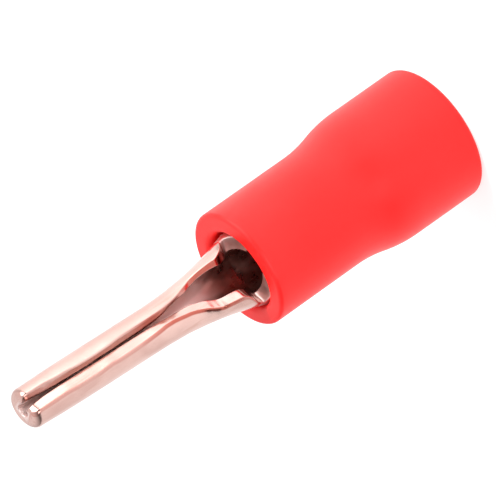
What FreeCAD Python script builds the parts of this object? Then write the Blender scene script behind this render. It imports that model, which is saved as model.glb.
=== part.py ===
"""An insulated crimp pin terminal for wire of 0.5 to 1.5 square millimetres.

Two pieces. The contact is one stamped sheet of tinned copper. Its wide end is
rolled into a round barrel with a butted seam, and its tongue is rolled nearly
shut into a round pin. The tongue's two edges leave the barrel as the lips of
an open mouth, close up along the throat, run side by side as a groove down
the pin and spread a little at its tip. The sleeve is one soft moulded tube,
tight on the barrel and flared at the end where the wire goes in.

Millimetres. The terminal stands on its wire end: the origin is the centre of
the sleeve's wire-end face, +Z runs to the pin's tip, and the groove faces -Y.
"""

import FreeCAD, Part
import math
import os

import Sketcher

# Each size that can be set by itself, with what it measures.
SIZES = (
    ("sleeve_length", 10.6, "sleeve, end to end"),
    ("sleeve_wall", 0.915, "sleeve's wall over the barrel"),
    ("bell_wall", 0.85, "sleeve's wall round the wire entry"),
    ("bell_widening", 0.45, "wire entry's wall outside the barrel's wall"),
    ("bell_length", 3.2, "straight wire end of the sleeve, up to the flare"),
    ("flare_length", 2.95, "flare, from the wide outside to the narrow one"),
    ("funnel_length", 1.2, "cone inside, from the wire entry to the barrel"),
    ("outer_edge_round", 0.16, "rounding of the sleeve's outer end edges"),
    ("inner_edge_round", 0.14, "rounding of the sleeve's inner end edges"),
    ("barrel_recess", 0.35, "barrel's rim behind the sleeve's end"),
    ("barrel_diameter", 3.3, "barrel outside"),
    ("barrel_length", 5.2, "barrel, from its wire end to its rim"),
    ("barrel_lead_in", 0.2, "chamfer of the barrel's bore at the wire end"),
    ("sheet_thickness", 0.65, "metal sheet"),
    ("seam_gap", 0.06, "gap of the barrel's butted seam"),
    ("throat_length", 4.85, "from the barrel's rim to the pin's shank"),
    ("shank_length", 3.9, "pin's straight shank"),
    ("tip_length", 2.6, "pin's tip, from the shank to the end"),
    ("pin_diameter", 1.84, "pin's straight shank"),
    ("tip_diameter", 1.75, "pin at its end"),
    ("tip_round", 0.14, "rounding of the pin's end"),
    ("mouth_outer_angle", 140.0, "widest opening between the lips' outer corners"),
    ("mouth_inner_angle", 160.0, "widest opening between the lips' inner corners"),
    ("groove_outer_angle", 50.0, "opening between the outer corners, shank"),
    ("groove_inner_angle", 14.0, "opening between the inner corners, shank"),
    ("tip_outer_angle", 60.0, "opening between the outer corners, tip"),
    ("tip_inner_angle", 52.0, "opening between the inner corners, tip"),
)

# The throat's form, from 0 at the barrel's rim to 1 at the shank: at each
# share of its length, how far the outside and the inside have narrowed and
# how far the lips' outer and inner corners have closed from the mouth's widest
# place. Just above the rim the lips are still closed a little, which leaves a
# rounded shoulder between the rim and each lip.
THROAT = (
    (0.00, 0.00, 0.00, 0.27, 0.19),
    (0.07, 0.14, 0.11, 0.00, 0.00),
    (0.20, 0.36, 0.30, 0.33, 0.15),
    (0.42, 0.66, 0.58, 0.50, 0.29),
    (0.58, 0.83, 0.74, 0.67, 0.71),
    (0.78, 0.96, 0.90, 0.92, 0.97),
    (1.00, 1.00, 1.00, 1.00, 1.00),
)

# The tip's form, from 0 at the shank to 1 at the pin's end: at each share of
# its length, how far it has narrowed and how far the groove has opened.
TIP = (
    (0.00, 0.00, 0.00),
    (0.50, 0.35, 0.35),
    (1.00, 1.00, 1.00),
)

# Radii and heights that follow from the sizes.
BARREL_RADIUS = "(Sizes.barrel_diameter / 2)"
BORE_RADIUS = f"({BARREL_RADIUS} - Sizes.sheet_thickness)"
BARREL_END_RADIUS = f"({BARREL_RADIUS} + Sizes.sleeve_wall)"
ENTRY_RADIUS = f"({BARREL_RADIUS} + Sizes.bell_widening)"
WIRE_END_RADIUS = f"({ENTRY_RADIUS} + Sizes.bell_wall)"
PIN_RADIUS = "(Sizes.pin_diameter / 2)"
HOLLOW_RADIUS = f"({PIN_RADIUS} - Sizes.sheet_thickness)"
TIP_RADIUS = "(Sizes.tip_diameter / 2)"
BARREL_FOOT = "(Sizes.sleeve_length - Sizes.barrel_recess - Sizes.barrel_length)"
FUNNEL_FOOT = f"({BARREL_FOOT} - Sizes.funnel_length)"
FLARE_HEAD = "(Sizes.bell_length + Sizes.flare_length)"

# Heights along the contact, from the foot of its barrel.
SHANK_FOOT = "(Sizes.barrel_length + Sizes.throat_length)"
TIP_FOOT = f"({SHANK_FOOT} + Sizes.shank_length)"
PIN_END = f"({TIP_FOOT} + Sizes.tip_length)"

# Places on a sketched line or arc, and the sketch's own origin and X axis.
START, END, CENTRE = 1, 2, 3
ORIGIN = X_AXIS = -1

document = FreeCAD.newDocument("PinTerminal")
sheet = document.addObject("Spreadsheet::Sheet", "Sizes")
for row, (alias, number, meaning) in enumerate(SIZES, start=1):
    sheet.set(f"A{row}", meaning)
    sheet.set(f"B{row}", str(number))
    sheet.setAlias(f"B{row}", alias)
document.recompute()


def value(expression):
    """What an expression over the sizes comes to."""
    result = sheet.evalExpression(expression)
    return float(getattr(result, "Value", result))


def between(start, end, share):
    """The size that lies at a share of the way from one size to another."""
    return f"({start} + ({end} - {start}) * {share})"


def new_body(label, height=None):
    """A body on the terminal's axis, raised to a height if one is given."""
    body = document.addObject("PartDesign::Body", label)
    body.Label = label
    body.Placement = FreeCAD.Placement()
    if height:
        body.setExpression("Placement.Base.z", height)
    return body


def new_sketch(body, name, role="XY_Plane", height=None):
    """A sketch on one of the body's origin planes, raised if a height is given."""
    plane = next(f for f in body.Origin.OriginFeatures if f.Role == role)
    sketch = body.newObject("Sketcher::SketchObject", name)
    sketch.AttachmentSupport = [(plane, "")]
    sketch.MapMode = "FlatFace"
    if height:
        sketch.setExpression("AttachmentOffset.Base.z", height)
    return sketch


def constrain(sketch, *constraint):
    """Adds a constraint that has no size."""
    sketch.addConstraint(Sketcher.Constraint(*constraint))


def dimension(sketch, name, expression, kind, *places):
    """Adds a dimension and binds it to the sizes."""
    number = value(expression)
    if kind == "Angle":
        number = math.radians(number)
        expression = f"{expression} * 1 deg"
    index = sketch.addConstraint(Sketcher.Constraint(kind, *places, number))
    sketch.renameConstraint(index, name)
    sketch.setExpression(f"Constraints.{name}", expression)


def new_feature(body, kind, name, profile):
    """A feature of the body made from a sketch."""
    feature = body.newObject(f"PartDesign::{kind}", name)
    feature.Profile = profile
    profile.Visibility = False
    return feature


def dress_edges(body, kind, name, size, places):
    """Rounds or chamfers the round edges at the given radii and heights."""
    document.recompute()
    wanted = [(value(radius), value(height)) for radius, height in places]
    edges = []
    for index, edge in enumerate(body.Tip.Shape.Edges, start=1):
        curve = edge.Curve
        if isinstance(curve, Part.Circle) and any(
            abs(curve.Radius - radius) < 1e-4 and abs(curve.Center.z - height) < 1e-4
            for radius, height in wanted
        ):
            edges.append(f"Edge{index}")
    feature = body.newObject(f"PartDesign::{kind}", name)
    feature.Base = (body.Tip if body.Tip != feature else feature.BaseFeature, edges)
    feature.setExpression("Radius" if kind == "Fillet" else "Size", size)
    return feature


def sleeve_section(sketch):
    """Half of the sleeve's section, radius across and height up.

    The flare is two equal arcs, tangent to each other and to both outsides.
    """
    entry, bore = value(ENTRY_RADIUS), value(BARREL_RADIUS)
    wide, narrow = value(WIRE_END_RADIUS), value(BARREL_END_RADIUS)
    bell, flare = value("Sizes.bell_length"), value("Sizes.flare_length")
    top = value("Sizes.sleeve_length")
    step = wide - narrow
    bend = (flare**2 + step**2) / (4 * step)
    turn = math.asin(flare / 2 / bend)
    point = FreeCAD.Vector
    upward = point(0, 0, 1)

    wide_bend = Part.Circle(point(wide - bend, bell, 0), upward, bend)
    narrow_bend = Part.Circle(point(narrow + bend, bell + flare, 0), upward, bend)
    corners = (
        point(narrow, bell + flare, 0),
        point(narrow, top, 0),
        point(bore, top, 0),
        point(bore, value(BARREL_FOOT), 0),
        point(entry, value(FUNNEL_FOOT), 0),
        point(entry, 0, 0),
        point(wide, 0, 0),
        point(wide, bell, 0),
    )
    lines = [
        sketch.addGeometry(Part.LineSegment(start, end))
        for start, end in zip(corners, corners[1:])
    ]
    wide_arc = sketch.addGeometry(Part.ArcOfCircle(wide_bend, 0, turn))
    narrow_arc = sketch.addGeometry(
        Part.ArcOfCircle(narrow_bend, math.pi, math.pi + turn)
    )
    narrow_side, top_edge, barrel_wall, funnel, entry_wall, foot_edge, wide_side = lines

    for line, following in zip(lines, lines[1:]):
        constrain(sketch, "Coincident", line, END, following, START)
    for line in (narrow_side, barrel_wall, entry_wall, wide_side):
        constrain(sketch, "Vertical", line)
    for line in (top_edge, foot_edge):
        constrain(sketch, "Horizontal", line)
    constrain(sketch, "PointOnObject", foot_edge, START, X_AXIS)
    constrain(sketch, "Tangent", wide_side, END, wide_arc, START)
    constrain(sketch, "Tangent", wide_arc, END, narrow_arc, END)
    constrain(sketch, "Tangent", narrow_arc, START, narrow_side, START)
    constrain(sketch, "Equal", wide_arc, narrow_arc)
    for name, size, line in (
        ("wide_radius", WIRE_END_RADIUS, wide_side),
        ("narrow_radius", BARREL_END_RADIUS, narrow_side),
        ("barrel_radius", BARREL_RADIUS, barrel_wall),
        ("entry_radius", ENTRY_RADIUS, entry_wall),
    ):
        dimension(sketch, name, size, "DistanceX", ORIGIN, START, line, START)
    for name, size, line, end in (
        ("bell_head", "Sizes.bell_length", wide_side, END),
        ("flare_head", FLARE_HEAD, narrow_side, START),
        ("sleeve_head", "Sizes.sleeve_length", top_edge, START),
        ("barrel_foot", BARREL_FOOT, barrel_wall, END),
        ("funnel_foot", FUNNEL_FOOT, funnel, END),
    ):
        dimension(sketch, name, size, "DistanceY", ORIGIN, START, line, end)


def ring_section(sketch, outer, inner):
    """Two circles round the axis."""
    centre, upward = FreeCAD.Vector(0, 0, 0), FreeCAD.Vector(0, 0, 1)
    for name, radius in (("outer_radius", outer), ("inner_radius", inner)):
        circle = sketch.addGeometry(Part.Circle(centre, upward, value(radius)))
        constrain(sketch, "Coincident", circle, CENTRE, ORIGIN, START)
        dimension(sketch, name, radius, "Radius", circle)


def seam_section(sketch):
    """A thin oblong from the barrel's bore out through its seam."""
    half = value("Sizes.seam_gap") / 2
    depth = -value("Sizes.barrel_diameter")
    corners = [
        FreeCAD.Vector(x, y, 0)
        for x, y in ((-half, 0), (-half, depth), (half, depth), (half, 0))
    ]
    lines = [
        sketch.addGeometry(Part.LineSegment(corners[i], corners[(i + 1) % 4]))
        for i in range(4)
    ]
    left, outer, right, inner = lines
    for i in range(4):
        constrain(sketch, "Coincident", lines[i], END, lines[(i + 1) % 4], START)
    for line in (left, right):
        constrain(sketch, "Vertical", line)
    constrain(sketch, "Horizontal", outer)
    constrain(sketch, "Symmetric", inner, START, inner, END, ORIGIN, START)
    dimension(sketch, "gap", "Sizes.seam_gap", "DistanceX", outer, START, outer, END)
    dimension(sketch, "reach", "Sizes.barrel_diameter", "DistanceY", left, END, left, START)


def rolled_section(sketch, outer, inner, outer_angle, inner_angle):
    """The sheet rolled round the axis, open towards -Y.

    Two arcs about the axis, joined by the sheet's two edges, the lips.
    """
    centre, upward = FreeCAD.Vector(0, 0, 0), FreeCAD.Vector(0, 0, 1)
    arcs, ends = [], []
    for radius, opening in ((outer, outer_angle), (inner, inner_angle)):
        circle = Part.Circle(centre, upward, value(radius))
        half = math.radians(value(opening)) / 2
        first, last = half - math.pi / 2, 3 * math.pi / 2 - half
        arcs.append(sketch.addGeometry(Part.ArcOfCircle(circle, first, last)))
        ends.append((circle.value(first), circle.value(last)))
    outer_arc, inner_arc = arcs
    right_lip, left_lip = (
        sketch.addGeometry(Part.LineSegment(*corners)) for corners in zip(*ends)
    )
    for arc, end, lip, lip_end in (
        (outer_arc, START, right_lip, START),
        (inner_arc, START, right_lip, END),
        (outer_arc, END, left_lip, START),
        (inner_arc, END, left_lip, END),
    ):
        constrain(sketch, "Coincident", arc, end, lip, lip_end)
    for name, arc, radius, opening in (
        ("outer", outer_arc, outer, outer_angle),
        ("inner", inner_arc, inner, inner_angle),
    ):
        constrain(sketch, "Coincident", arc, CENTRE, ORIGIN, START)
        constrain(sketch, "Horizontal", arc, START, arc, END)
        dimension(sketch, f"{name}_radius", radius, "Radius", arc)
        dimension(sketch, f"{name}_turn", f"(360 - {opening})", "Angle", arc)


def loft_through(body, name, sketches):
    """Joins a row of sections with one smooth skin."""
    loft = new_feature(body, "AdditiveLoft", name, sketches[0])
    loft.Sections = sketches[1:]
    for sketch in sketches:
        sketch.Visibility = False
    return loft


def make_sleeve():
    """The insulating sleeve, from its wire end at the origin."""
    body = new_body("insulating_sleeve")
    section = new_sketch(body, "SleeveSection", role="XZ_Plane")
    sleeve_section(section)
    tube = new_feature(body, "Revolution", "SleeveTube", section)
    tube.ReferenceAxis = (section, ["V_Axis"])
    tube.Angle = 360
    outer_edges = (
        (WIRE_END_RADIUS, "0"),
        (BARREL_END_RADIUS, "Sizes.sleeve_length"),
    )
    inner_edges = ((ENTRY_RADIUS, "0"), (BARREL_RADIUS, "Sizes.sleeve_length"))
    dress_edges(body, "Fillet", "OuterEdges", "Sizes.outer_edge_round", outer_edges)
    dress_edges(body, "Fillet", "InnerEdges", "Sizes.inner_edge_round", inner_edges)
    return body


def make_contact():
    """The pin contact, from the foot of its barrel."""
    body = new_body("pin_contact", height=BARREL_FOOT)

    ring = new_sketch(body, "BarrelSection")
    ring_section(ring, BARREL_RADIUS, BORE_RADIUS)
    barrel = new_feature(body, "Pad", "Barrel", ring)
    barrel.setExpression("Length", "Sizes.barrel_length")

    slit = new_sketch(body, "SeamSection", height="Sizes.barrel_length")
    seam_section(slit)
    seam = new_feature(body, "Pocket", "Seam", slit)
    seam.setExpression("Length", "Sizes.barrel_length")
    lead_in = [(BORE_RADIUS, "0")]
    dress_edges(body, "Chamfer", "LeadIn", "Sizes.barrel_lead_in", lead_in)

    throat = []
    for i, (reach, outside, inside, outer_lips, inner_lips) in enumerate(THROAT):
        height = f"(Sizes.barrel_length + Sizes.throat_length * {reach})"
        section = new_sketch(body, f"ThroatSection{i}", height=height)
        rolled_section(
            section,
            between(BARREL_RADIUS, PIN_RADIUS, outside),
            between(BORE_RADIUS, HOLLOW_RADIUS, inside),
            between("Sizes.mouth_outer_angle", "Sizes.groove_outer_angle", outer_lips),
            between("Sizes.mouth_inner_angle", "Sizes.groove_inner_angle", inner_lips),
        )
        throat.append(section)
    loft_through(body, "Throat", throat)

    groove = new_sketch(body, "ShankSection", height=SHANK_FOOT)
    rolled_section(
        groove,
        PIN_RADIUS,
        HOLLOW_RADIUS,
        "Sizes.groove_outer_angle",
        "Sizes.groove_inner_angle",
    )
    shank = new_feature(body, "Pad", "Shank", groove)
    shank.setExpression("Length", "Sizes.shank_length")

    tip = []
    for i, (reach, narrowed, opened) in enumerate(TIP):
        section = new_sketch(
            body, f"TipSection{i}", height=f"({TIP_FOOT} + Sizes.tip_length * {reach})"
        )
        rolled_section(
            section,
            between(PIN_RADIUS, TIP_RADIUS, narrowed),
            HOLLOW_RADIUS,
            between("Sizes.groove_outer_angle", "Sizes.tip_outer_angle", opened),
            between("Sizes.groove_inner_angle", "Sizes.tip_inner_angle", opened),
        )
        tip.append(section)
    loft_through(body, "Tip", tip)
    dress_edges(body, "Fillet", "TipEdge", "Sizes.tip_round", [(TIP_RADIUS, PIN_END)])
    return body


def export(bodies):
    """Writes each body as its own file once the whole model is sound."""
    document.recompute()
    for item in document.Objects:
        if any(state in ("Invalid", "Error") for state in item.State):
            raise RuntimeError(f"{item.Label} is not sound: {item.State}")
    os.makedirs("parts", exist_ok=True)
    for body in bodies:
        shape = body.Shape
        if shape.isNull() or not shape.isValid() or len(shape.Solids) != 1:
            raise RuntimeError(f"{body.Label} is not one sound solid")
        shape.exportStep(f"parts/{body.Label}.step")
        print(f"{body.Label}: {shape.Volume:.3f} cubic millimetres")


export((make_sleeve(), make_contact()))
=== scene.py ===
import math

import bpy
import numpy as np
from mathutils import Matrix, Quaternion, Vector


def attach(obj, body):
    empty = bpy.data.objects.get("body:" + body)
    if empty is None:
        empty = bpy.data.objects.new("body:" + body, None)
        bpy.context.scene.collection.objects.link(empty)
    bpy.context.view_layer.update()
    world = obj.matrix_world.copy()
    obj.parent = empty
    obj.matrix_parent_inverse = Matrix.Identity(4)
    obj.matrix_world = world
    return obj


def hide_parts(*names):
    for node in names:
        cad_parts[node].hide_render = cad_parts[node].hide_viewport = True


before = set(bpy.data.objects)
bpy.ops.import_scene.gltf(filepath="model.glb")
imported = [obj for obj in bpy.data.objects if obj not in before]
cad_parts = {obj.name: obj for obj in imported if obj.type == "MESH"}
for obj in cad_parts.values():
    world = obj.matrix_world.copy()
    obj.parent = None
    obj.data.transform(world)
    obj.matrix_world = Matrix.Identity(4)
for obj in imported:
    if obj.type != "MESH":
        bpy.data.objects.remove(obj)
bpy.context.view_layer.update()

MM = 0.001

# Heights and radii of the terminal in millimetres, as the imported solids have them.
SLEEVE_TOP = 10.6
BARREL_FOOT = 5.05
BARREL_RIM = 10.25
SHANK_FOOT = 15.1
TIP_FOOT = 19.0
PIN_END = 21.6
BARREL_R, BORE_R = 1.65, 1.0
PIN_R, HOLLOW_R, TIP_R = 0.92, 0.27, 0.875
NARROW_R, WIDE_R, ENTRY_R = 2.565, 2.945, 2.1

# Rounding of the pin's end and of the barrel's rim.
END_ROUND, RIM_ROUND = 0.28, 0.28


def monotone(xs, ys):
    """A smooth curve through the points that never overshoots them."""
    xs, ys = np.array(xs, float), np.array(ys, float)
    step, slope = np.diff(xs), np.diff(ys) / np.diff(xs)
    m = np.zeros_like(ys)
    m[0], m[-1] = slope[0], slope[-1]
    for i in range(1, len(xs) - 1):
        if slope[i - 1] * slope[i] > 0:
            a, b = 2 * step[i] + step[i - 1], step[i] + 2 * step[i - 1]
            m[i] = (a + b) / (a / slope[i - 1] + b / slope[i])

    def at(x):
        i = int(np.clip(np.searchsorted(xs, x) - 1, 0, len(xs) - 2))
        h = step[i]
        t = min(max((x - xs[i]) / h, 0.0), 1.0)
        return float(
            ys[i] * (2 * t**3 - 3 * t**2 + 1)
            + h * m[i] * (t**3 - 2 * t**2 + t)
            + ys[i + 1] * (3 * t**2 - 2 * t**3)
            + h * m[i + 1] * (t**3 - t**2)
        )

    return at


def new_object(name, vertices, faces, sharp=30):
    mesh = bpy.data.meshes.new(name)
    mesh.from_pydata([tuple(c * MM for c in v) for v in vertices], [], faces)
    mesh.validate()
    mesh.update()
    obj = bpy.data.objects.new(name, mesh)
    bpy.context.scene.collection.objects.link(obj)
    mesh.shade_smooth()
    mesh.set_sharp_from_angle(angle=math.radians(sharp))
    return obj


def arc(cx, cy, r, a0, a1, n):
    """Points of an arc, angles in degrees."""
    return [
        (cx + r * math.cos(math.radians(a)), cy + r * math.sin(math.radians(a)))
        for a in np.linspace(a0, a1, n)
    ]


def line(p, q, n):
    """Points of a straight stretch, its two ends left out."""
    return [tuple(np.array(p) + (np.array(q) - np.array(p)) * i / n) for i in range(1, n)]


def sleeve_profile():
    """The sleeve's closed profile, as radius and height, from its wire end's outer edge."""
    bell, flare = 3.2, 2.95
    step = WIDE_R - NARROW_R
    bend = (flare**2 + step**2) / (4 * step)
    turn = math.degrees(math.asin(flare / 2 / bend))
    e, i = 0.18, 0.26  # rounding of the outer and the inner end edges
    p = []
    p += arc(WIDE_R - e, e, e, -90, 0, 9)
    p += line((WIDE_R, e), (WIDE_R, bell), 10)
    p += arc(WIDE_R - bend, bell, bend, 0, turn, 14)
    p += arc(NARROW_R + bend, bell + flare, bend, 180 + turn, 180, 14)[1:]
    p += line((NARROW_R, bell + flare), (NARROW_R, SLEEVE_TOP - e), 12)
    p += arc(NARROW_R - e, SLEEVE_TOP - e, e, 0, 90, 9)
    p += line((NARROW_R - e, SLEEVE_TOP), (BARREL_R + i, SLEEVE_TOP), 4)
    p += arc(BARREL_R + i, SLEEVE_TOP - i, i, 90, 180, 7)
    p += line((BARREL_R, SLEEVE_TOP - i), (BARREL_R, BARREL_FOOT), 8)
    p += [(BARREL_R, BARREL_FOOT)]
    p += line((BARREL_R, BARREL_FOOT), (ENTRY_R, 3.85), 6)
    p += [(ENTRY_R, 3.85)]
    p += line((ENTRY_R, 3.85), (ENTRY_R, i), 8)
    p += arc(ENTRY_R + i, i, i, 180, 270, 7)
    p += line((ENTRY_R + i, 0), (WIDE_R - e, 0), 4)
    return p


def lathe(name, profile, around=160):
    """Turns a profile round the axis; its bore gives way to the side the contact leans to."""
    vertices, faces = [], []
    n = len(profile)
    for k in range(around):
        a = 2 * math.pi * k / around
        for r, z in profile:
            if r < BARREL_R + 0.5 and z > BARREL_FOOT:
                away = math.cos(a) * ACROSS[0] + math.sin(a) * ACROSS[1]
                r += max(lean_at(z) * away, 0.0)
            vertices.append((r * math.cos(a), r * math.sin(a), z))
    for k in range(around):
        for j in range(n):
            a, b = k * n, ((k + 1) % around) * n
            faces.append((a + j, b + j, b + (j + 1) % n, a + (j + 1) % n))
    return new_object(name, vertices, faces)


# The lips are given in a frame turned a little about the axis, across and towards the groove.
TURN = math.radians(-8)
ACROSS = np.array((math.cos(TURN), math.sin(TURN)))
TOWARDS = np.array((math.sin(TURN), -math.cos(TURN)))


def law(*pairs):
    """A smooth curve through pairs of height and value."""
    return monotone(pairs[::2], pairs[1::2])


# The sheet's outer and inner radius at a height. Both narrow fastest near the barrel's rim.
throat = SHANK_FOOT - BARREL_RIM
share = [0, 0.05, 0.15, 0.3, 0.45, 0.6, 0.8, 1.0]
stations = [BARREL_RIM + throat * s for s in share]
outer_radii = [BARREL_R - (BARREL_R - PIN_R) * (1 - (1 - s) ** 2) for s in share]
inner_radii = [BORE_R - (BORE_R - HOLLOW_R) * (1 - (1 - s) ** 1.6) for s in share]
outer_at = monotone(stations + [TIP_FOOT, PIN_END], outer_radii + [PIN_R, TIP_R])
inner_at = monotone(stations + [TIP_FOOT, PIN_END], inner_radii + [HOLLOW_R, HOLLOW_R])

# Each lip: the bearing of its outer corner in degrees, how far across its inner corner lies,
# how much deeper that one is, and how far the outer one is pressed in from the round.
LIPS = {
    1: (
        law(
            9.9, 29, 10.25, 30, 10.28, 40, 10.33, 49, 10.40, 57, 10.50, 65, 10.62, 70,
            10.75, 69.5, 10.90, 61.5, 11.05, 55, 11.26, 50, 11.5, 47.5, 11.7, 49.5, 12.0, 51.5,
            12.4, 52.7, 12.8, 51, 13.2, 45, 13.6, 38, 14.0, 32.5, 14.5, 29, 15.1, 27.5,
            15.8, 27, 16.7, 26, 17.4, 22, 18.2, 20.5, 18.9, 21, 19.4, 25, 20.1, 28, 20.8, 33,
            21.6, 33,
        ),
        law(
            9.9, 0.52, 10.25, 0.53, 10.28, 0.68, 10.33, 0.81, 10.40, 0.90, 10.50, 0.955,
            10.62, 0.965, 10.75, 0.89, 10.85, 0.80, 11.15, 0.70, 11.35, 0.66, 11.6, 0.69,
            12.0, 0.71, 12.3, 0.69, 12.55, 0.67, 12.8, 0.61, 13.05, 0.56, 13.3, 0.468,
            13.6, 0.433, 14.0, 0.36, 14.4, 0.28, 14.7, 0.205, 15.3, 0.14, 16.0, 0.12,
            19.9, 0.12, 20.4, 0.14, 20.9, 0.18, 21.2, 0.20, 21.45, 0.22, 21.6, 0.24,
        ),
        law(10.25, 0.50, 10.8, 0.34, 11.15, 0.22, 12.3, 0.10, 13.4, 0.13, 15.0, 0.27, 21.6, 0.26),
        law(10.25, 0.0, 10.6, 0.0, 11.15, 0.15, 12.3, 0.02, 13.6, 0.05, 15.1, 0.0, 21.6, 0.0),
    ),
    -1: (
        law(
            9.9, 29, 10.25, 30, 10.28, 42, 10.33, 53, 10.40, 63, 10.50, 72, 10.62, 77,
            10.75, 76, 10.98, 64, 11.28, 47.5, 11.46, 45, 11.74, 45.7, 12.02, 46.3, 12.31, 46.8,
            12.58, 42, 12.9, 33, 13.31, 24.4, 13.65, 19.2, 13.94, 17, 14.23, 14.6, 14.53, 13,
            14.85, 13, 15.15, 15, 16.0, 19, 17.3, 21.5, 17.7, 20, 18.4, 23, 19.4, 22, 19.9, 20,
            20.7, 21.5, 21.2, 22, 21.6, 27,
        ),
        law(
            9.9, -0.52, 10.25, -0.53, 10.28, -0.70, 10.33, -0.84, 10.40, -0.93, 10.50, -0.985,
            10.62, -0.96, 10.72, -0.87, 10.96, -0.725, 11.2, -0.589, 11.51, -0.499,
            11.83, -0.467, 12.16, -0.447, 12.48, -0.35, 12.76, -0.215, 13.06, -0.12,
            13.44, -0.018, 13.85, 0.025, 14.31, 0.04, 14.8, 0.06, 15.3, 0.08, 16.0, 0.09,
            19.9, 0.09, 20.4, 0.08, 20.9, 0.06, 21.2, 0.03, 21.45, 0.0, 21.6, -0.03,
        ),
        law(
            10.25, 0.45, 10.9, 0.27, 11.5, 0.20, 12.2, 0.14, 13.0, 0.14, 14.0, 0.22, 15.1, 0.24,
            21.6, 0.24,
        ),
        law(
            10.25, 0.0, 12.1, 0.0, 12.4, 0.03, 12.8, 0.11, 13.3, 0.18, 13.9, 0.15, 14.6, 0.08,
            15.5, 0.0, 21.6, 0.0,
        ),
    ),
}
# How strongly painted shade, a dark copper red, covers the first lip's cut face at a height.
cut_face_shade = law(
    9.9, 0.1, 10.9, 0.3, 11.3, 1.0, 12.6, 1.0, 13.5, 0.55, 14.4, 0.4, 15.2, 0.9, 15.9, 0.6,
    16.8, 0.15, 21.6, 0.25,
)
# How far round, in degrees, the inside takes to leave a lip's inner corner at a height.
fade_at = law(9.9, 50, 12.5, 45, 14.0, 25, 15.1, 14, 21.6, 14)

# Points of a lip, of the outside and of the inside in a section, and of the barrel's round.
LIP, N_OUT, N_IN, RING = 18, 96, 48, 120
CUT_FACE = range(5, 15)
# The second lip's outer corner, where a thin line of painted shade runs.
SHADED_CORNER = range(LIP + N_OUT - 3, LIP + N_OUT + 3)


def lean_at(z):
    """How far the contact stands across from the sleeve's axis at a height."""
    tilt = -0.129 + 0.043 * (max(z, 10.0) - 10.5)
    t = min(max((z - 8.0) / 2.0, 0.0), 1.0)
    return tilt * t * t * (3 - 2 * t)


def bend_corner(before, corner, after, n=6):
    """Points of a rounded corner."""
    return [
        (1 - t) ** 2 * before + 2 * t * (1 - t) * corner + t**2 * after for t in np.linspace(0, 1, n)
    ]


def rolled(z, outer, inner, trim=0.0, rounding=0.06):
    """The sheet's section at a height: one lip, the outside, the other lip, the inside."""
    corners = {}
    for side, (bearing, across, depth, pressed) in LIPS.items():
        b = math.radians(bearing(z))
        front = outer * math.cos(b) - pressed(z)
        o = side * outer * math.sin(b) * ACROSS + front * TOWARDS
        i = (across(z) + side * trim) * ACROSS + (front - depth(z)) * TOWARDS
        corners[side] = (o, i)

    def angle(p):
        return math.atan2(p[0], -p[1])

    def at(r, a):
        return np.array((r * math.sin(a), -r * math.cos(a)))

    def lip(side):
        o, i = corners[side]
        along = (i - o) / np.linalg.norm(i - o)
        length = np.linalg.norm(i - o)
        c, d = min(rounding, length * 0.3), min(0.045, length * 0.25)
        start = outside(unwrap(angle(o) + side * c / outer, side))
        end = inside(unwrap(angle(i) + side * d / max(np.linalg.norm(i), 0.15), side))
        points = bend_corner(start, o, o + along * c)
        points += [o + along * (c + (length - c - d) * k / 7) for k in range(1, 7)]
        points += bend_corner(i - along * d, i, end)
        return points

    def unwrap(a, side):
        return a if side == 1 else a + 2 * math.pi

    def between(a, radius, fade, which):
        """A point of the outside or inside; the radius runs over to that of each lip's corner."""
        r = radius
        for side, pair in corners.items():
            away = side * (a - unwrap(angle(pair[which]), side))
            r += (np.linalg.norm(pair[which]) - radius) * math.exp(-((max(away, 0.0) / fade) ** 2))
        return at(r, a)

    def outside(a):
        return between(a, outer, math.radians(26), 0)

    def inside(a):
        return between(a, inner, math.radians(fade_at(z)), 1)

    right, left = lip(1), lip(-1)
    a0, a1 = angle(right[0]), 2 * math.pi + angle(left[0])
    around = [outside(a) for a in np.linspace(a0, a1, N_OUT)][1:-1]
    b0, b1 = angle(right[-1]), 2 * math.pi + angle(left[-1])
    within = [inside(a) for a in np.linspace(b0, b1, N_IN)][1:-1]
    return [tuple(p) for p in list(reversed(right)) + around + left + list(reversed(within))]


def ring(outer, inner, half, rim=0.0):
    """The barrel's section with its butted seam; the rim's rounding fades out behind the lips."""
    def at(r, a, cut):
        bearing = abs(math.degrees(a - math.pi))
        r += cut * min(max((bearing - 100) / 15, 0.0), 1.0)
        return (r * math.sin(a), -r * math.cos(a))

    angles = np.linspace(math.radians(half), 2 * math.pi - math.radians(half), RING)
    return [at(outer, a, -rim) for a in angles] + [at(inner, a, 0.8 * rim) for a in reversed(angles)]


def sweep(rows):
    """Joins rows of equal length, each (height, points), and closes both ends."""
    n = len(rows[0][1])
    vertices = [(x, y, z) for z, points in rows for x, y in points]
    faces = []
    for k in range(len(rows) - 1):
        for j in range(n):
            a, b = k * n, (k + 1) * n
            faces.append((a + j, a + (j + 1) % n, b + (j + 1) % n, b + j))
    faces.append(tuple(reversed(range(n))))
    last = (len(rows) - 1) * n
    faces.append(tuple(range(last, last + n)))
    return vertices, faces


def painted_lip_shade(j, z):
    """How strongly painted shade darkens a point: one lip's cut face, the other's outer corner."""
    if j in CUT_FACE:
        return cut_face_shade(z)
    if j in SHADED_CORNER:
        return min(max(1.0 - (z - 14.5) / 4.0, 0.45), 1.0)
    return 0.0


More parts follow.
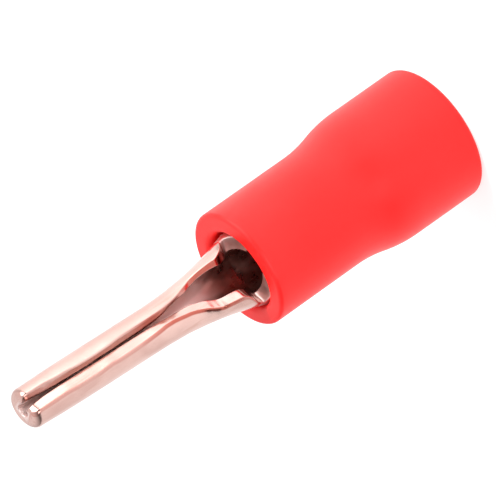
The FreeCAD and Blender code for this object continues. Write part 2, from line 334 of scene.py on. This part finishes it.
def fold_rows():
    """Sections of the throat and the pin, from inside the barrel's rim to the rounded end."""
    heights = [BARREL_RIM - 0.35, BARREL_RIM - 0.1]
    heights += list(np.linspace(BARREL_RIM, BARREL_RIM + 1.1, 56))
    heights += list(np.linspace(BARREL_RIM + 1.1, SHANK_FOOT, 70))[1:]
    heights += list(np.linspace(SHANK_FOOT, PIN_END - END_ROUND, 90))[1:]
    rows = []
    for z in heights:
        inset = 0.003 if z < BARREL_RIM else 0.0
        rows.append((z, rolled(z, outer_at(z) - 0.002, inner_at(z) + inset)))
    for a in np.linspace(0, 90, 9)[1:]:
        rise, cut = math.sin(math.radians(a)), 1 - math.cos(math.radians(a))
        z = PIN_END - END_ROUND + END_ROUND * rise
        outer, inner = outer_at(z) - END_ROUND * cut, inner_at(z) + 0.03 * cut
        rows.append((z, rolled(z, outer, inner, trim=0.05 * cut, rounding=0.06 + 0.1 * rise)))
    return rows


def barrel_rows():
    """Sections of the barrel, from the lead-in at its wire end to its rounded rim."""
    half, lead = 1.0, 0.2  # half the seam in degrees, and the lead-in's length
    rows = [
        (BARREL_FOOT, ring(BARREL_R - 0.05, BORE_R + lead, half)),
        (BARREL_FOOT + 0.015, ring(BARREL_R - 0.015, BORE_R + lead - 0.015, half)),
        (BARREL_FOOT + 0.05, ring(BARREL_R, BORE_R + lead - 0.05, half)),
        (BARREL_FOOT + lead, ring(BARREL_R, BORE_R, half)),
    ]
    for z in np.linspace(BARREL_FOOT + lead, BARREL_RIM - RIM_ROUND, 24)[1:]:
        rows.append((z, ring(BARREL_R, BORE_R, half)))
    for a in np.linspace(0, 90, 7)[1:]:
        rise, cut = math.sin(math.radians(a)), 1 - math.cos(math.radians(a))
        z = BARREL_RIM - RIM_ROUND + RIM_ROUND * rise
        rows.append((z, ring(BARREL_R, BORE_R, half, rim=RIM_ROUND * cut)))
    return rows


def contact_mesh():
    """The contact's points and faces, and the values that its material reads at the points."""
    rows = fold_rows()
    row = len(rows[0][1])
    skin, faces = sweep(rows)
    tube, tube_faces = sweep(barrel_rows())
    base = len(skin)
    faces += [tuple(i + base for i in f) for f in tube_faces]

    lip_shade_values = [painted_lip_shade(k % row, z) for k, (_, _, z) in enumerate(skin)] + [0.0] * len(tube)
    inner = [k % row >= row - N_IN + 2 for k in range(base)]
    inner += [k % (2 * RING) >= RING for k in range(len(tube))]
    depth = [min(max((12.5 - z) / 1.5, 0.0), 1.0) for _, _, z in skin + tube]
    brow = [not i and 10.0 < z < 10.75 for i, (_, _, z) in zip(inner, skin + tube)]
    # Painted light, with dullness: the inside above the barrel, and the outside by the rim.
    floor = [(1.0 - d) * i + 0.7 * b for d, i, b in zip(depth, inner, brow)]
    # Painted shade, and dullness, deep inside the barrel.
    deep = [d * i for d, i in zip(depth, inner)]

    points = []
    for x, y, z in skin + tube:
        lean = lean_at(z) * ACROSS
        points.append((x + lean[0], y + lean[1], z))
    return points, faces, {"painted_lip_shade": lip_shade_values, "throat_light_and_dullness": floor, "deep_shade_and_dullness": deep}


sleeve = lathe("sleeve", sleeve_profile())
vertices, faces, point_values = contact_mesh()
contact = new_object("contact", vertices, faces, sharp=40)
for name, values in point_values.items():
    contact.data.attributes.new(name, "FLOAT", "POINT").data.foreach_set("value", values)

for piece, node, slot in (
    (sleeve, "insulating_sleeve", "sleeve_plastic"),
    (contact, "pin_contact", "tinned_copper"),
):
    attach(piece, "root")
    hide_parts(node)


class Shading:
    """A node material built step by step round its Principled shader."""

    def __init__(self, name, metallic):
        self.material = bpy.data.materials.new(name)
        self.material.use_nodes = True
        self.tree = self.material.node_tree
        self.shader = self.tree.nodes["Principled BSDF"]
        self.shader.inputs["Metallic"].default_value = metallic

    def node(self, kind, inputs=None, **settings):
        made = self.tree.nodes.new("ShaderNode" + kind)
        for key, value in settings.items():
            setattr(made, key, value)
        for key, value in (inputs or {}).items():
            self.feed(made.inputs[key], value)
        return made

    def feed(self, socket, value):
        if isinstance(value, bpy.types.NodeSocket):
            self.tree.links.new(value, socket)
        else:
            socket.default_value = value

    def noise(self, stretch, scale, detail=4.0, distortion=0.0):
        """Noise in object space, stretched per axis; its value runs from 0 to 1."""
        place = self.node("TexCoord").outputs["Object"]
        mapped = self.node("Mapping", {"Vector": place, "Scale": stretch}).outputs["Vector"]
        inputs = {"Vector": mapped, "Scale": scale, "Detail": detail, "Distortion": distortion}
        return self.node("TexNoise", inputs).outputs["Fac"]

    def point_value(self, name):
        """A value that the mesh holds at each of its points."""
        return self.node("Attribute", attribute_name=name).outputs["Fac"]

    def span(self, value, low, high, to_low, to_high):
        """Maps a range of a value smoothly to another range."""
        inputs = {"Value": value, "From Min": low, "From Max": high}
        inputs.update({"To Min": to_low, "To Max": to_high})
        return self.node("MapRange", inputs, interpolation_type="SMOOTHSTEP").outputs["Result"]

    def blend(self, share, first, second):
        made = self.node("Mix", data_type="RGBA")
        for k, value in ((0, share), (6, first), (7, second)):
            self.feed(made.inputs[k], value)
        return made.outputs[2]

    def bump(self, height, distance, strength, below=None):
        inputs = {"Height": height, "Distance": distance, "Strength": strength}
        if below is not None:
            inputs["Normal"] = below
        return self.node("Bump", inputs).outputs["Normal"]

    def finish(self, **sockets):
        for name, value in sockets.items():
            self.feed(self.shader.inputs[name.replace("_", " ")], value)
        return self.material


def plastic_material():
    """Soft red insulation: a little mottled, faintly dimpled, rubbed duller in places."""
    s = Shading("sleeve_plastic", 0.0)
    cloud = s.noise((1, 1, 0.7), 260, 3.0)
    grain = s.noise((1, 1, 1), 5200, 3.0)
    flow = s.noise((1, 1, 0.25), 1100, 2.0)
    mottle = s.span(cloud, 0.35, 0.65, 0.0, 1.0)
    colour = s.blend(mottle, (0.90, 0.008, 0.007, 1), (0.96, 0.012, 0.011, 1))
    rough = s.span(cloud, 0.3, 0.7, 0.38, 0.47)
    fine = s.bump(grain, 0.00001, 0.22)
    soft = s.bump(flow, 0.00004, 0.16, fine)
    return s.finish(
        Base_Color=colour, Roughness=rough, Normal=soft, Specular_IOR_Level=0.29,
        Subsurface_Weight=0.12, Subsurface_Radius=(0.0009, 0.00012, 0.0001), Subsurface_Scale=1.0,
    )


def metal_material():
    """Thinly tinned copper: rosy, drawn along the axis; darker with painted shade and duller down in
    the barrel; lighter with painted light and duller on the throat's inside and by the rim; painted
    shade on a cut face and a corner.
    """
    s = Shading("tinned_copper", 1.0)
    cloud = s.noise((1, 1, 0.5), 900, 3.0)
    drawn = s.noise((1, 1, 0.035), 5200, 4.0, 0.4)
    pits = s.noise((1, 1, 0.6), 3300, 3.0)
    tone = s.blend(s.span(cloud, 0.35, 0.65, 0.0, 1.0), (0.60, 0.375, 0.33, 1), (0.69, 0.46, 0.41, 1))
    tone = s.blend(s.span(drawn, 0.58, 0.72, 0.0, 0.35), tone, (0.52, 0.27, 0.21, 1))
    lip_shade = s.point_value("painted_lip_shade")
    patches = s.span(cloud, 0.3, 0.55, 0.45, 1.0)
    patchy_shade = s.node("Math", {0: lip_shade, 1: patches}, operation="MULTIPLY").outputs[0]
    # Painted shade: dark copper red on one lip's cut face and along the other's corner, in patches.
    tone = s.blend(patchy_shade, tone, (0.45, 0.12, 0.09, 1))
    deep = s.point_value("deep_shade_and_dullness")
    throat = s.point_value("throat_light_and_dullness")
    # Painted shade: the inside darkens to a dull copper red down in the barrel.
    tone = s.blend(s.span(deep, 0.0, 1.0, 0.0, 0.5), tone, (0.52, 0.22, 0.17, 1))
    # Painted light: a pale pink on the throat's inside and by the barrel's rim, where the metal looks
    # bright.
    tone = s.blend(s.span(throat, 0.0, 1.0, 0.0, 0.8), tone, (0.86, 0.70, 0.67, 1))
    rough = s.span(pits, 0.35, 0.7, 0.13, 0.26)
    for place, duller in ((deep, 0.13), (throat, 0.34)):
        inputs = {0: place, 1: duller, 2: rough}
        rough = s.node("Math", inputs, operation="MULTIPLY_ADD").outputs[0]
    lines = s.bump(drawn, 0.000012, 0.35)
    dents = s.bump(pits, 0.00002, 0.22, lines)
    return s.finish(Base_Color=tone, Roughness=rough, Normal=dents)


def floor_material():
    """Pale paper, evenly bright."""
    s = Shading("pale_floor", 0.0)
    fibre = s.noise((1, 1, 1), 900, 3.0)
    return s.finish(
        Base_Color=(0.45, 0.45, 0.45, 1), Roughness=s.span(fibre, 0.3, 0.7, 0.85, 0.95),
        Specular_IOR_Level=0.2, Emission_Color=(1, 1, 1, 1), Emission_Strength=0.64,
    )


sleeve.data.materials.append(plastic_material())
contact.data.materials.append(metal_material())

floor_mesh = bpy.data.meshes.new("floor")
floor_mesh.from_pydata([(-2, -2, 0), (2, -2, 0), (2, 2, 0), (-2, 2, 0)], [], [(0, 1, 2, 3)])
floor = bpy.data.objects.new("floor", floor_mesh)
bpy.context.scene.collection.objects.link(floor)
floor.location.z = -0.00001
floor.data.materials.append(floor_material())

# The surroundings are bright behind and above the object, and dim towards the camera.
world = bpy.data.worlds.new("studio")
bpy.context.scene.world = world
world.use_nodes = True
nodes, links = world.node_tree.nodes, world.node_tree.links
place = nodes.new("ShaderNodeTexCoord")
slant = nodes.new("ShaderNodeVectorMath")
slant.operation = "DOT_PRODUCT"
slant.inputs[1].default_value = (0.38, 0.55, 0.75)
ramp = nodes.new("ShaderNodeValToRGB")
links.new(place.outputs["Generated"], slant.inputs[0])
links.new(slant.outputs["Value"], ramp.inputs["Fac"])
links.new(ramp.outputs["Color"], nodes["Background"].inputs["Color"])
dark, bright = ramp.color_ramp.elements
dark.position, dark.color = 0.0, (0.20, 0.19, 0.19, 1)
bright.position, bright.color = 0.85, (1.15, 1.15, 1.15, 1)
nodes["Background"].inputs["Strength"].default_value = 1.0

scene = bpy.context.scene
scene.view_settings.view_transform = "Standard"


def area_light(name, location, size, power, target=(0, 0, 0.01)):
    data = bpy.data.lights.new(name, "AREA")
    data.shape = "RECTANGLE"
    data.size = data.size_y = size
    data.energy = power
    light = bpy.data.objects.new(name, data)
    scene.collection.objects.link(light)
    light.location = location
    light.rotation_mode = "QUATERNION"
    light.rotation_quaternion = (Vector(target) - Vector(location)).to_track_quat("-Z", "Y")
    return light


area_light("key", (0.085, -0.045, 0.06), 0.09, 0.10, (0.03, -0.015, 0.0))
# The low lamp brightens the floor that the metal mirrors, and isn't mirrored itself.
low = area_light("low", (0.056, -0.046, 0.040), 0.03, 0.085, (0.032, -0.026, 0.0))
low.visible_glossy = False
area_light("fill", (-0.12, -0.18, 0.10), 0.15, 0.30)

camera_data = bpy.data.cameras.new("camera")
camera_data.sensor_width = 36
camera_data.lens = 36 * 8000 / 500
camera = bpy.data.objects.new("camera", camera_data)
scene.collection.objects.link(camera)
ROLL = -125.2519
target = Vector((0.3612, -0.0512, 9.6328)) * MM
location = Vector((-39.5653, -281.522, 145.7825)) * MM
forward = (target - location).normalized()
camera.location = location
camera.rotation_mode = "QUATERNION"
roll = Quaternion((0, 0, 1), math.radians(ROLL))
camera.rotation_quaternion = forward.to_track_quat("-Z", "Y") @ roll
camera_data.clip_start, camera_data.clip_end = 0.01, 10
scene.camera = camera
